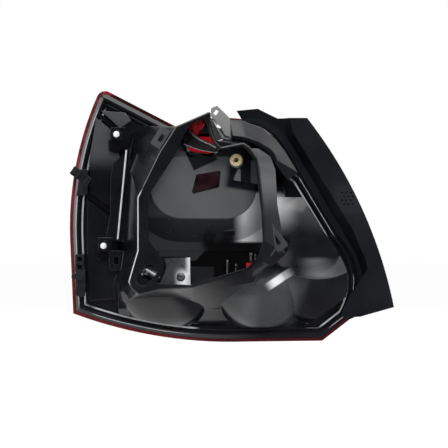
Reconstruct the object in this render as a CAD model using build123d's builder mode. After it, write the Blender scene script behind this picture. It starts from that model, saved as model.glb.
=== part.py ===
from build123d import *
from math import atan2, degrees, radians, tan
import os

os.makedirs("parts", exist_ok=True)

# A rear lamp seen from behind: X right, Z up, Y out through the lens, all in millimetres.
# Zero is the mouth of the brass insert in the bulb pocket.
rim_forward = 50.0       # the rim of the lamp lies this far in front of the insert's mouth
wall = 2.5               # moulded wall of the housing

# Rim, measured inwards from the edge of the lens
lens_wall = 3.0
lens_fit = 0.4           # gap between the lens skirt and the rim of the housing
skirt_high = 5.0         # how far the lens skirt reaches back over the rim
bead_wide = 2.0          # sealing bead
bead_high = 2.0
rail_wide = 6.2
rail_high = 9.0
rail_slope_wide = 4.0
rail_slope_high = 2.5
groove_wide = 2.6
ridge_wide = 1.8
ridge_high = 8.5
deck_under = 3.0
deck_thick = 2.5

# Heights towards the viewer, from the rim
flange_high = 80.0
flange_thick = 3.5
body_high = 78.0
web_low = 36.0           # underside of the insert's web
web_thick = 4.0
ear_thick = 5.0
apron_high = 34.5        # flat top of the main reflector
shelf_high = 55.0
strap_high = 60.0
shoulder_high = 44.0     # outer edge of the strap
fin_high = 22.0
peg_seat_high = 20.0

# Lens
lens_deep = 55.0         # crown in front of the rim
lens_radius = 420.0

# Reflectors and bezel
shell = 2.2
shell_gap = 1.2
flange_seat = 2.5
bezel_thick = 2.5

# Fixing insert
insert_radius = 4.6
insert_bore = 2.5
insert_long = 10.0
boss_radius = 7.2
boss_long = 10.8
insert_lean = 15.0
insert_collar = 0.8
screw_room = 0.6         # past the insert, round the screw
collar_radius = 6.0

rim_start = lens_wall + lens_fit
rail_end = rim_start + rail_wide
ridge_start = rail_end + groove_wide
ridge_end = ridge_start + ridge_wide
panel_start = ridge_end + 1.2
deck_top = deck_under + deck_thick


def level(height):
    return Plane.XZ.offset(height - rim_forward)


# Edge of the lens as seen from behind
with BuildSketch() as lens_shape:
    with BuildLine():
        left = ThreePointArc((-138.5, 76), (-161.5, 10), (-170, -85))
        low_left = Line(left @ 1, (-167, -156))
        bottom = ThreePointArc(low_left @ 1, (-78, -179.5), (10, -185))
        low = Line(bottom @ 1, (89, -184))
        low_corner = Line(low @ 1, (116, -163))
        low_right = ThreePointArc(low_corner @ 1, (127.5, -120), (106, -72))
        right = Line(low_right @ 1, (52, 18))
        top_right = ThreePointArc(right @ 1, (34, 36), (6, 44))
        top = ThreePointArc(top_right @ 1, (-27, 44.5), (-62, 36.5))
        Line(top @ 1, left @ 0)
    make_face()
    fillet(lens_shape.vertices().sort_by(Axis.Y)[-1], 9)
    fillet(lens_shape.vertices().group_by(Axis.X)[0], 4)
    fillet(lens_shape.vertices().sort_by(Axis.Y)[:2], 4)


def lens_edge(inset):
    add(lens_shape.sketch)
    if inset:
        offset(amount=-inset)


def rim_band(outer, inner):
    with BuildSketch(mode=Mode.PRIVATE) as inside:
        lens_edge(inner)
    lens_edge(outer)
    add(inside.sketch, mode=Mode.SUBTRACT)


def outline(points, radius):
    with BuildLine() as edge:
        if radius:
            FilletPolyline(*points, radius=radius, close=True)
        else:
            Polyline(*points, close=True)
    make_face(edge.edges())


# Corners of a shape, listed anticlockwise, moved inwards
def inset(points, depth):
    moved = []
    for place, point in enumerate(points):
        here = Vector(*point)
        ahead = Vector(*points[(place + 1) % len(points)]) - here
        behind = here - Vector(*points[place - 1])
        one = Vector(-behind.Y, behind.X).normalized()
        two = Vector(-ahead.Y, ahead.X).normalized()
        shift = here + (one + two) * (depth / (1 + one.dot(two)))
        moved.append((shift.X, shift.Y))
    return moved


# Half of an oval: a round end of one radius between two flatter bows
def oval(reach, drop):
    end = 0.7 * drop
    bow = (reach ** 2 + drop ** 2 - 2 * reach * end) / (2 * (drop - end))
    turn = degrees(atan2(bow - drop, reach - end))
    CenterArc((0, bow - drop), bow, -90, 90 - turn)
    CenterArc((reach - end, 0), end, -turn, 2 * turn)
    CenterArc((0, drop - bow), bow, turn, 90 - turn)


# Four flats from pole to pole, for faces that nobody sees
def flats(reach, drop):
    Polyline((0, -drop), (0.62 * reach, -0.8 * drop), (reach, -0.25 * drop), (reach, 0.25 * drop),
             (0.62 * reach, 0.8 * drop), (0, drop))


def dome(x, z, reach, drop, smooth):
    centre = (x, rim_forward, z)
    with BuildSketch(Plane(centre, x_dir=(1, 0, 0), z_dir=(0, -1, 0))) as profile:
        with BuildLine() as half:
            if not smooth:
                flats(reach, drop)
            elif reach > drop:
                oval(reach, drop)
            else:
                CenterArc((0, 0), reach, -90, 180)
            Line((0, -drop), (0, drop))
        make_face(half.edges())
    revolve(profile.sketch, axis=Axis(centre, (0, 0, 1)))


# Bowls of the lower and right chambers: centre, reach and drop
turn_bowl = (-71, -130, 55, 44)
reverse_bowl = (25, -130, 55, 44)
corner_bowl = (81, -108, 58, 58)
side_bowl = (62, -76, 57, 57)
turn_mirror = (-70, -130, 48, 40)
reverse_mirror = (26, -130, 46, 40)
corner_mirror = (82, -112, 42, 42)
side_mirror = (60, -74, 46, 46)
facet_high = 47.0        # where the slanted top of the corner bowl meets its crest
facet_place = -110.0
facet_slope = 48.0       # degrees from the deck
skirt_left = -119.0
skirt_right = 76.0
skirt_crest = (-150, 27)
skirt_toe = (-168.5, 5.5)
side_top = -37.0         # the right bowl is cut flat here
chamfer_from = (79, -162)
chamfer_turn = 38.0


# The bowls stay inside the ridge and inside a room given by its left, right, bottom and top,
# and a straight chamfer cuts the lower right corner
def room_for(skin, low, room):
    left, right, bottom, top = room
    with BuildSketch(level(low)) as plan:
        lens_edge(panel_start + skin)
        with Locations(Location((chamfer_from[0], chamfer_from[1] + skin), chamfer_turn)):
            Rectangle(160, 60, align=(Align.CENTER, Align.MAX), mode=Mode.SUBTRACT)
        with Locations(((left + right) / 2, (bottom + top) / 2)):
            Rectangle(right - left - 2 * skin, top - bottom - 2 * skin, mode=Mode.INTERSECT)
    extrude(plan.sketch, amount=90, mode=Mode.INTERSECT)


def bowls(shapes, skin, low, room, smooth):
    with BuildPart() as form:
        for x, z, reach, drop in shapes:
            dome(x, z, reach - skin, drop - skin, smooth)
        room_for(skin, low, room)
    return form.part


# The corner bowl is cut off above by a slanted facet
def corner_form(skin, low, smooth):
    x, z, reach, drop = corner_bowl
    facet = Plane((x, rim_forward - facet_high, facet_place), x_dir=(1, 0, 0), z_dir=(0, -1, 0))
    facet = facet.rotated((-facet_slope, 0, 0))
    with BuildPart() as form:
        dome(x, z, reach - skin, drop - skin, smooth)
        with BuildSketch(facet.offset(-skin)) as slice_off:
            Rectangle(300, 300)
        extrude(slice_off.sketch, amount=200, mode=Mode.SUBTRACT)
        room_for(skin, low, whole_room)
    return form.part


# Sloping skirt under the two lower bowls
def skirt(skin):
    with BuildPart() as form:
        with BuildSketch(Plane.YZ.offset(skirt_left + skin)) as section:
            with BuildLine() as edge:
                Polyline((rim_forward - deck_under + skin, skirt_toe[0] + skin),
                         (rim_forward - skirt_toe[1] + skin, skirt_toe[0] + skin),
                         (rim_forward - skirt_crest[1] + skin, skirt_crest[0] + skin),
                         (rim_forward - skirt_crest[1] + skin, skirt_crest[0] + 20),
                         (rim_forward - deck_under + skin, skirt_crest[0] + 20), close=True)
            make_face(edge.edges())
        extrude(section.sketch, amount=skirt_right - skirt_left - 2 * skin)
        room_for(skin, deck_under - skin, whole_room)
    return form.part


whole_room = (-300, 300, -300, side_top)
round_bowls = (turn_bowl, reverse_bowl, side_bowl)
bowls_outside = bowls(round_bowls, 0, deck_under, whole_room, True)
bowls_inside = bowls(round_bowls, wall, deck_under - wall, whole_room, False)
corner_outside = corner_form(0, deck_under, True)
corner_inside = corner_form(wall, deck_under - wall, False)

# Pocket body: corners at its foot on the deck and at its head under the flange
body_foot = [(-15, 36), (-42, 36), (-61, 24), (-96, 38), (-108, 30), (-113, 5), (-121, -85), (-126, -130), (-118, -150),
             (-43, -164), (30, -164), (66, -118), (58, -60), (47, -5), (30, 24), (10, 33)]
body_head = [(-27, 44), (-38, 40.4), (-48, 36.2), (-58, 31), (-80, -5), (-95, -40), (-95, -90), (-104, -121), (-94, -131),
             (-43, -124), (13, -108), (27, -82), (25, -40), (19, 0), (6, 14), (-20, 18)]


def tapered(foot, head, low, high, radius, mode):
    with BuildSketch(level(low)) as under:
        outline(foot, radius)
    with BuildSketch(level(high)) as over:
        outline(head, radius)
    loft([under.sketch, over.sketch], ruled=True, mode=mode)


flange_edge = [(-25, 47), (-59, 32), (-75, 7), (-97, -38), (-97, -90), (-106, -121), (-103, -128),
               (-95, -134), (-75, -129), (-43, -127), (14, -110), (24, -99), (29, -82), (28, -55),
               (21, 1), (13.5, 11.5), (7, 16), (-15, 11.5), (-21, 18), (-25, 30)]
opening_edge = [(-31, 40), (-44, 35), (-51, 24), (-62, 1), (-86, -36), (-86, -80), (-71, -101),
                (-72, -111), (-80, -122), (-45, -124), (11, -107), (21, -97), (26, -84), (25, -55),
                (18, -1), (11, 9), (6, 13), (-17, 8.5), (-24.5, 18), (-28, 30)]


# A raised panel is a hollow step: its corners and its height
def raised_panel(points, top, radius):
    with BuildSketch(level(deck_under)) as outside:
        outline(points, radius)
    extrude(outside.sketch, amount=top - deck_under)
    with BuildSketch(level(deck_under - 1)) as inside:
        outline(points, radius)
        offset(amount=-wall)
    extrude(inside.sketch, amount=top - wall - deck_under + 1, mode=Mode.SUBTRACT)


# A window tab is a flat lug with a slot for a snap
def window_tab(x, z, turn, top, wide, high, slot_wide, slot_high):
    with BuildSketch(level(top - wall)) as lug:
        with Locations(Location((x, z), turn)):
            RectangleRounded(wide, high, 2)
            Rectangle(slot_wide, slot_high, mode=Mode.SUBTRACT)
    extrude(lug.sketch, amount=wall)


# Curved strap above the right side: walls up to a shoulder, then a broad slope to a narrow crest
strap_foot = [(-6, 18), (8, 16), (20, 10), (30, 2), (38, -10), (58, -24), (66, -17), (54, 6), (43, 21),
              (28, 32), (12, 37), (-9, 38)]
strap_shoulder = [(-6, 19), (8, 17), (21, 11), (31, 4), (37, -4), (52, -20), (62, -12), (49, 9.5), (40, 21),
                  (27, 32), (6, 40), (-9, 41)]
strap_crest = [(-6, 21), (8, 19), (21, 14), (31, 8), (35, 3), (38, -3), (41, -1), (39, 5), (34.5, 10.5),
               (23, 17.5), (9, 22.5), (-7, 24.5)]
# Right shoulder of the pocket: a slope from the flange down to a steep wall
side_foot = [(12, 8), (17, -94), (36, -106), (49, -94), (41, -45), (39, -10), (34, 3), (23, 11)]
side_crest = [(6, 8), (15, -88), (22, -98), (28, -82), (27, -55), (22, -8), (18.5, 1.5), (12.5, 10)]
side_low = 36.0
side_high = 63.0
fix_axis = Vector(0, -1, 0).rotate(Axis.X, -insert_lean * 0.7).rotate(Axis.Z, -insert_lean * 0.7)
fix_plane = Plane((0, 0, 0), z_dir=fix_axis)
peg_places = ((-120.5, 26.5), (-133.5, -86))
screw_place = (-55, -117)
screw_hole = 2.1
rib_edge = [(-112.6, 12), (-109.8, 11.4), (-118.8, -80.3), (-121.6, -79.7)]
rib_high = 21.5
rib_crown = 1.0
edge_break = 1.2         # chamfers round the flange

# Top of the rail: a slope on its outer side
with BuildPart() as rail_cap:
    with BuildSketch(level(rail_high - rail_slope_high)) as whole:
        lens_edge(rim_start)
    extrude(whole.sketch, amount=rail_slope_high, taper=degrees(atan2(rail_slope_wide, rail_slope_high)))
    with BuildSketch(level(rail_high - rail_slope_high)) as middle:
        lens_edge(rail_end)
    extrude(middle.sketch, amount=rail_slope_high, mode=Mode.SUBTRACT)
rail_top = rail_cap.part

with BuildPart() as housing:
    # deck, rim and rails
    with BuildSketch(level(deck_under)):
        lens_edge(rim_start)
    extrude(amount=deck_thick)
    with BuildSketch(level(bead_high)):
        rim_band(rim_start, rail_end)
    extrude(amount=rail_high - rail_slope_high - bead_high)
    add(rail_top)
    with BuildSketch(level(0)):
        rim_band(lens_wall + bead_wide, rim_start + 2 * wall)
    extrude(amount=bead_high)
    with BuildSketch(level(deck_top)):
        rim_band(ridge_start, ridge_end)
    extrude(amount=ridge_high - deck_top)

    # stepped wing on the left
    raised_panel([(-138, 52), (-113, 50), (-107, 42), (-118.5, 34)], 11.5, 0)
    raised_panel([(-142.5, 45), (-122.5, 28), (-118, 0), (-118, -50), (-126.5, -48.5), (-149.5, -32),
                  (-150, 1)], 13, 0)
    raised_panel([(-152, -38.5), (-130, -54.5), (-117, -60), (-122, -84), (-122, -140), (-150, -143),
                  (-152.5, -90)], 11.5, 0)
    raised_panel([(-125.7, -3.6), (-108, 14), (-114, -82), (-133, -80), (-128, -54), (-128, -20)], 19, 0)

    # thin rib at the inner edge of the wing
    with BuildSketch(level(deck_top)):
        outline(rib_edge, 0)
    extrude(amount=rib_high - deck_top)
    with BuildSketch(level(rib_high)):
        outline(rib_edge, 0)
    extrude(amount=rib_crown, taper=45)

    # seats for the pegs and clips
    for x, z in peg_places:
        raised_panel([(x - 7, z + 8), (x - 7, z - 14), (x + 8, z - 14), (x + 8, z + 8)], peg_seat_high, 0)

    # pocket body with its right shoulder, bowls and curved strap, then their hollow
    tapered(body_foot, body_head, deck_under, body_high, 4, Mode.ADD)
    with BuildSketch(level(side_low)):
        outline(side_foot, 0)
    extrude(amount=side_high - side_low)
    tapered(side_foot, side_crest, side_high, body_high, 0, Mode.ADD)
    add(skirt(0))
    add(bowls_outside)
    add(corner_outside)
    tapered(strap_foot, strap_shoulder, deck_under, shoulder_high, 0, Mode.ADD)
    tapered(strap_shoulder, strap_crest, shoulder_high, strap_high, 0, Mode.ADD)
    tapered(inset(strap_foot, wall), inset(strap_shoulder, wall), deck_under - wall, shoulder_high - wall, 0,
            Mode.SUBTRACT)
    tapered(inset(body_foot, wall), inset(body_head, wall), deck_under - wall, body_high - wall, 0,
            Mode.SUBTRACT)
    add(bowls_inside, mode=Mode.SUBTRACT)
    add(corner_inside, mode=Mode.SUBTRACT)

    # flange and opening
    with BuildSketch(level(flange_high - flange_thick)):
        outline(flange_edge, 2)
    extrude(amount=flange_thick - edge_break)
    with BuildSketch(level(flange_high - edge_break)):
        outline(flange_edge, 2)
    extrude(amount=edge_break, taper=45)
    with BuildSketch(level(flange_high - 12)):
        outline(opening_edge, 2)
    extrude(amount=14, mode=Mode.SUBTRACT)

    # bulb hole in the broad corner of the flange
    with BuildSketch(level(flange_high - 12)):
        with Locations(Location((-88, -114), 48)):
            SlotOverall(24, 13)
    extrude(amount=14, mode=Mode.SUBTRACT)

    # shelf in the pocket
    with BuildSketch(level(shelf_high - wall)):
        outline([(-75, -96), (-46, -96), (-43, -136), (-90, -136.3)], 1)
        with Locations(screw_place):
            Circle(screw_hole, mode=Mode.SUBTRACT)
    extrude(amount=wall)

    # boss of the insert on a web from the right wall
    with BuildSketch(level(web_low)):
        outline([(-3, -20), (37, -26), (33, -3), (6, 2)], 1.5)
    extrude(amount=web_thick)
    with BuildSketch(fix_plane.offset(-insert_collar)):
        Circle(boss_radius)
    extrude(amount=-boss_long)
    with BuildSketch(fix_plane.offset(-insert_collar)):
        Circle(boss_radius + 4)
    extrude(amount=20, mode=Mode.SUBTRACT)
    with BuildSketch(fix_plane):
        Circle(insert_radius)
    extrude(amount=-insert_long, mode=Mode.SUBTRACT)
    with BuildSketch(fix_plane):
        Circle(insert_bore + screw_room)
    extrude(amount=-(insert_collar + boss_long + web_thick), mode=Mode.SUBTRACT)

    # ear and window tabs
    with BuildSketch(level(strap_high)):
        outline([(-25, 43), (-25, 51), (-19, 53.5), (-13, 48), (-6, 41), (-3, 22), (-11, 24), (-17, 35)], 1.5)
        with Locations(Location((-20, 47), -35)):
            RectangleRounded(3.6, 5.4, 0.8, mode=Mode.SUBTRACT)
    extrude(amount=-ear_thick)
    window_tab(-74, 21, -33, 70, 13, 21, 4, 8)
    window_tab(-121, -101, 0, 26, 15, 20, 4, 8)
    window_tab(40, -80, 38, 70, 13, 22, 4, 10)
housing.part.label = "housing"
export_step(housing.part, "parts/housing.step")

# Side fin: a sheet standing on the right rail, its inner wall sloped
fin_gap = 0.2
fin_thick = 2.5
fin_low = skirt_high + 0.3
fin_slope_foot = [(-20, 45), (-20, -10), (90, -172), (119.5, -166), (130, -142), (132, -120), (124, -95),
                  (109.2, -70.5), (56, 20), (46, 33), (28, 44)]
fin_slope_top = [(-20, 80), (-20, -10), (90, -172), (124, -166), (135, -142), (136.5, -118), (134, -102),
                 (121, -70), (58, 32), (53, 60), (40, 80)]

with BuildPart() as fin_hollow:
    with BuildSketch(level(fin_low - 1)):
        with Locations((100, -50)):
            Rectangle(240, 300)
    extrude(amount=fin_high - fin_thick - fin_low + 1)
    tapered(inset(fin_slope_foot, -1.5), inset(fin_slope_top, -1.5), fin_low - 1, fin_low + 15.7, 1,
            Mode.SUBTRACT)

dimple_place = (112.5, -32.0)
dimple_rows = 4
dimple_pitch = 4.4
dimple_radius = 1.0
dimple_deep = 1.0
with BuildPart() as side_fin:
    with BuildSketch(level(fin_low)):
        with BuildLine():
            tongue = Polyline((20, 20), (1, 52), (22.6, 54), (43, 44), (72.6, 44))
            edge = ThreePointArc(tongue @ 1, (123.5, -37.5), (161, -148.6))
            Polyline(edge @ 1, (114.4, -161.8), (90, -140), (80, -60), (20, 20))
        make_face()
    extrude(amount=fin_high - fin_low)
    with BuildSketch(level(0)):
        lens_edge(rim_start - fin_gap)
    extrude(amount=fin_high + 5, mode=Mode.SUBTRACT)
    tapered(fin_slope_foot, fin_slope_top, fin_low + fin_thick, fin_low + fin_thick + 16.7, 1, Mode.SUBTRACT)
    add(fin_hollow.part, mode=Mode.SUBTRACT)
    with BuildSketch(level(fin_high - fin_thick)):
        outline([(138, -104), (127, -121), (116.5, -136), (107, -157), (114.4, -161.8), (140, -150)], 1)
    extrude(amount=fin_thick)
    # field of small blind dimples
    for row in range(dimple_rows):
        across = dimple_place[0] + row % 2 * dimple_pitch / 2
        along = dimple_place[1] - row * dimple_pitch * 0.9
        with BuildSketch(level(fin_high)):
            with Locations((across - dimple_pitch, along), (across, along), (across + dimple_pitch, along)):
                Circle(dimple_radius)
        extrude(amount=-dimple_deep, mode=Mode.SUBTRACT)
side_fin.part.label = "side_fin"
export_step(side_fin.part, "parts/side_fin.step")


# Lens: the rim outline carried forward to a crowned face
def crowned(skin, back):
    with BuildPart() as blank:
        with BuildSketch(level(-lens_deep - 10)) as plan:
            lens_edge(skin)
        extrude(plan.sketch, amount=lens_deep + 10 + back)
        with Locations((-20, rim_forward + lens_deep - lens_radius, -60)):
            Sphere(lens_radius - skin, mode=Mode.INTERSECT)
    return blank.part


lens_outside = crowned(0, skirt_high)
lens_inside = crowned(lens_wall, skirt_high + 1)


def clear_window():
    with Locations((30, -142)):
        RectangleRounded(92, 40, 8)


with BuildPart() as red_lens:
    add(lens_outside)
    add(lens_inside, mode=Mode.SUBTRACT)
    with BuildSketch(level(-lens_deep - 10)):
        clear_window()
    extrude(amount=lens_deep + 5, mode=Mode.SUBTRACT)
red_lens.part.label = "red_lens"
export_step(red_lens.part, "parts/red_lens.step")

with BuildPart() as clear_lens_window:
    add(lens_outside)
    add(lens_inside, mode=Mode.SUBTRACT)
    with BuildSketch(level(-lens_deep - 10)):
        clear_window()
    extrude(amount=lens_deep + 5, mode=Mode.INTERSECT)
clear_lens_window.part.label = "clear_lens_window"
export_step(clear_lens_window.part, "parts/clear_lens_window.step")

with BuildPart() as lens_sealant:
    with BuildSketch(level(0)):
        rim_band(lens_wall, lens_wall + bead_wide)
    extrude(amount=bead_high)
lens_sealant.part.label = "lens_sealant"
export_step(lens_sealant.part, "parts/lens_sealant.step")

# Reflectors: flanges against the front of the deck, bowls standing back into the chambers
flange_low = deck_under - flange_seat
inner_edge = rail_end + lens_fit
shell_skin = wall + shell_gap
hollow_skin = shell_skin + shell
main_place = (-33, -27)
main_ends = 22.0         # half the distance between the round ends of the reflector's top
main_round = 31.0
main_flare = 38.0        # degrees
main_left = -108.0       # the bowl is cut off here
main_right = 45.0
main_upper = 20.0
hook_places = ((-26, -74.5, -8), (-7, -71, 12))
hook_wide = 10.0
hook_thick = 2.4
hook_lip = 4.0
hook_low = 4.0
hook_high = 22.0
lower_split = -22.0
lower_top = -124.0


def main_oval(grow):
    with Locations(main_place):
        SlotCenterToCenter(2 * main_ends, 2 * (main_round + grow))


def main_bowl(high, grow, mode):
    with BuildSketch(level(high)) as top:
        main_oval(grow)
    with BuildPart() as bowl:
        extrude(top.sketch, amount=flange_low - high, taper=-main_flare)
        with Locations((main_left - grow, rim_forward, main_upper + grow)):
            Box(main_right - main_left + 2 * grow, 200, 200, align=(Align.MIN, Align.CENTER, Align.MAX),
                mode=Mode.INTERSECT)
    add(bowl.part, mode=mode)


main_spread = (apron_high - flange_low) * tan(radians(main_flare))


def top_hole(grow):
    outline(inset([(-24, 3), (-19, 12), (-24, 30), (-42, 30), (-50, 20), (-46, 8)], -grow), 4)


with BuildPart() as main_reflector:
    with BuildSketch(level(flange_low)):
        lens_edge(inner_edge)
        with Locations((-35, -26)):
            Rectangle(168, 132, mode=Mode.INTERSECT)
        with Locations((70, -80)):
            Rectangle(50, 84, mode=Mode.SUBTRACT)
    extrude(amount=flange_seat)
    main_bowl(apron_high, 0, Mode.ADD)
    with BuildSketch(level(flange_low + 10)):
        top_hole(shell)
    extrude(amount=apron_high + 4 - flange_low - 10)
    main_bowl(apron_high - shell, -shell / 2, Mode.SUBTRACT)
    for x, z, turn in hook_places:
        with BuildSketch(level(hook_low)):
            with Locations(Location((x, z), turn)):
                Rectangle(hook_wide, hook_thick)
        extrude(amount=hook_high - hook_low)
        with BuildSketch(level(hook_high)):
            with Locations(Location((x, z), turn)):
                with Locations((0, -hook_lip / 2)):
                    Rectangle(hook_wide, hook_thick + hook_lip)
        extrude(amount=hook_thick)
    with BuildSketch(level(flange_low - 1)):
        top_hole(0)
    extrude(amount=apron_high + 10, mode=Mode.SUBTRACT)
    with BuildSketch(level(apron_high - 10)):
        outline([(-45, -34), (-17, -27), (-15, -10), (-40, -14)], 2)
    extrude(amount=20, mode=Mode.SUBTRACT)
main_reflector.part.label = "main_reflector"
export_step(main_reflector.part, "parts/main_reflector.step")

turn_room = (-300, lower_split + shell_skin - 0.6, -300, lower_top)
turn_hollow = bowls((turn_mirror,), hollow_skin, -6, turn_room, False)
with BuildPart() as turn_reflector:
    with BuildSketch(level(flange_low)):
        lens_edge(inner_edge)
        with Locations((lower_split - 0.6, -108)):
            Rectangle(200, 100, align=(Align.MAX, Align.MAX), mode=Mode.INTERSECT)
    extrude(amount=flange_seat)
    add(bowls((turn_mirror,), shell_skin, flange_low, turn_room, False))
    with BuildSketch(level(flange_low)):
        with Locations(screw_place):
            Circle(4.5)
    extrude(amount=shelf_high - wall - flange_low - 0.2)
    add(turn_hollow, mode=Mode.SUBTRACT)
    with BuildSketch(level(shelf_high - wall - 0.2)):
        with Locations(screw_place):
            Circle(1.6)
    extrude(amount=-16, mode=Mode.SUBTRACT)
turn_reflector.part.label = "turn_reflector"
export_step(turn_reflector.part, "parts/turn_reflector.step")

reverse_room = (lower_split - shell_skin + 0.6, 300, -300, lower_top)
reverse_hollow = bowls((reverse_mirror, corner_mirror), hollow_skin, -6, reverse_room, False)
with BuildPart() as reverse_reflector:
    with BuildSketch(level(flange_low)):
        lens_edge(inner_edge)
        with Locations((lower_split + 0.6, -125.5)):
            Rectangle(200, 100, align=(Align.MIN, Align.MAX), mode=Mode.INTERSECT)
    extrude(amount=flange_seat)
    add(bowls((reverse_mirror, corner_mirror), shell_skin, flange_low, reverse_room, False))
    add(reverse_hollow, mode=Mode.SUBTRACT)
reverse_reflector.part.label = "reverse_reflector"
export_step(reverse_reflector.part, "parts/reverse_reflector.step")

side_room = (44, 300, -127.5, side_top)
side_hollow = bowls((side_mirror,), hollow_skin, -6, side_room, False)
with BuildPart() as side_reflector:
    with BuildSketch(level(flange_low)):
        lens_edge(inner_edge)
        with Locations((46.5, -124.5)):
            Rectangle(200, 86, align=(Align.MIN, Align.MIN), mode=Mode.INTERSECT)
    extrude(amount=flange_seat)
    add(bowls((side_mirror,), shell_skin, flange_low, side_room, False))
    add(side_hollow, mode=Mode.SUBTRACT)
side_reflector.part.label = "side_reflector"
export_step(side_reflector.part, "parts/side_reflector.step")

# Bezel between the reflectors and the lens
bezel_low = flange_low - bezel_thick
with BuildPart() as inner_bezel:
    with BuildSketch(level(bezel_low)):
        lens_edge(inner_edge)
        with Locations(main_place):
            SlotCenterToCenter(2 * main_ends, 2 * (main_round + main_spread - 2 * shell), mode=Mode.SUBTRACT)
    extrude(amount=bezel_thick)
    add(turn_hollow, mode=Mode.SUBTRACT)
    add(reverse_hollow, mode=Mode.SUBTRACT)
    add(side_hollow, mode=Mode.SUBTRACT)
inner_bezel.part.label = "inner_bezel"
export_step(inner_bezel.part, "parts/inner_bezel.step")

ring_deep = 8.0
ring_wide = 4.0
with BuildPart() as main_trim_ring:
    with BuildSketch(level(bezel_low - ring_deep)):
        with Locations(main_place):
            SlotCenterToCenter(2 * main_ends, 2 * (main_round + main_spread - 2 * shell + ring_wide))
            SlotCenterToCenter(2 * main_ends, 2 * (main_round + main_spread - 2 * shell), mode=Mode.SUBTRACT)
    extrude(amount=ring_deep)
main_trim_ring.part.label = "main_trim_ring"
export_step(main_trim_ring.part, "parts/main_trim_ring.step")

with BuildPart() as reflex_reflector:
    with BuildSketch(level(bezel_low - 5)):
        with Locations((-139, -60)):
            RectangleRounded(22, 104, 4)
    extrude(amount=5)
reflex_reflector.part.label = "reflex_reflector"
export_step(reflex_reflector.part, "parts/reflex_reflector.step")

# Brass insert, pegs, screw and edge clips
with BuildPart() as threaded_insert:
    with BuildSketch(fix_plane):
        Circle(collar_radius)
    extrude(amount=-insert_collar)
    with BuildSketch(fix_plane):
        Circle(insert_radius)
    extrude(amount=-insert_long)
    with BuildSketch(fix_plane):
        Circle(insert_bore)
    extrude(amount=-insert_long, mode=Mode.SUBTRACT)
threaded_insert.part.label = "threaded_insert"
export_step(threaded_insert.part, "parts/threaded_insert.step")

peg_radius = 3.8
peg_foot_radius = 5.4
peg_long = 16.0


def peg(place):
    with BuildSketch(level(peg_seat_high)) as foot:
        with Locations(place):
            Circle(peg_foot_radius)
    extrude(foot.sketch, amount=2.5)
    with BuildSketch(level(peg_seat_high)) as shank:
        with Locations(place):
            Circle(peg_radius)
    extrude(shank.sketch, amount=peg_long)
    with BuildSketch(level(peg_seat_high + peg_long)) as tip:
        with Locations(place):
            Circle(peg_radius)
    extrude(tip.sketch, amount=1.6, taper=30)
    with BuildSketch(level(peg_seat_high + peg_long + 1.6)) as point:
        with Locations(place):
            Circle(peg_radius - 1.6 * tan(radians(30)))
    extrude(point.sketch, amount=1.6, taper=55)


with BuildPart() as upper_locating_peg:
    peg(peg_places[0])
upper_locating_peg.part.label = "upper_locating_peg"
export_step(upper_locating_peg.part, "parts/upper_locating_peg.step")

with BuildPart() as lower_locating_peg:
    peg(peg_places[1])
lower_locating_peg.part.label = "lower_locating_peg"
export_step(lower_locating_peg.part, "parts/lower_locating_peg.step")

screw_head = 3.8
with BuildPart() as reflector_screw:
    with BuildSketch(level(shelf_high)):
        with Locations(screw_place):
            Circle(screw_head)
    extrude(amount=2.4)
    chamfer(reflector_screw.faces().sort_by(Axis.Y)[0].edges(), 1.0)
    with BuildSketch(level(shelf_high)):
        with Locations(screw_place):
            Circle(1.6)
    extrude(amount=-14)
    with BuildSketch(level(shelf_high + 1)):
        with Locations(screw_place):
            Rectangle(4, 0.9)
            Rectangle(0.9, 4)
    extrude(amount=3, mode=Mode.SUBTRACT)
reflector_screw.part.label = "reflector_screw"
export_step(reflector_screw.part, "parts/reflector_screw.step")

clip_thick = 2.0
with BuildPart() as upper_edge_clip:
    with BuildSketch(level(rail_high)):
        outline([(-162.5, -36), (-151, -33), (-151, -9), (-158, -8)], 1)
    extrude(amount=12)
    with BuildSketch(level(rail_high - 1)):
        outline([(-160, -31), (-153, -29), (-153, -12), (-156.5, -11.5)], 0.6)
    extrude(amount=11, mode=Mode.SUBTRACT)
    with BuildSketch(level(rail_high + 12)):
        with Locations(Location((-157.5, -15), -35)):
            RectangleRounded(22, 9.5, 1)
    extrude(amount=clip_thick)
    with BuildSketch(level(rail_high + 12 + clip_thick)):
        for step in range(4):
            with Locations(Location((-157.5 + (step - 1.5) * 4.1, -15 - (step - 1.5) * 2.9), -35)):
                Rectangle(1.4, 9.5)
    extrude(amount=1.2)
upper_edge_clip.part.label = "upper_edge_clip"
export_step(upper_edge_clip.part, "parts/upper_edge_clip.step")

with BuildPart() as lower_edge_clip:
    with BuildSketch(level(rail_high)):
        with Locations((-159.5, -104)):
            RectangleRounded(9, 18, 1)
        with Locations((-159.5, -100), (-159.5, -108)):
            Rectangle(4.5, 4.5, mode=Mode.SUBTRACT)
    extrude(amount=6)
    with BuildSketch(level(rail_high)):
        outline([(-163, -112), (-163, -137), (-155, -139), (-153, -128), (-153.5, -112)], 1.5)
    extrude(amount=11)
    with BuildSketch(level(rail_high - 1)):
        outline([(-161, -115), (-161, -134), (-157, -135.5), (-155.2, -128), (-155.5, -115)], 1)
    extrude(amount=10, mode=Mode.SUBTRACT)
    with BuildSketch(level(rail_high + 11)):
        outline([(-152.5, -113), (-154, -122), (-167.5, -119), (-167, -115)], 1)
    extrude(amount=clip_thick)
lower_edge_clip.part.label = "lower_edge_clip"
export_step(lower_edge_clip.part, "parts/lower_edge_clip.step")
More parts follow.
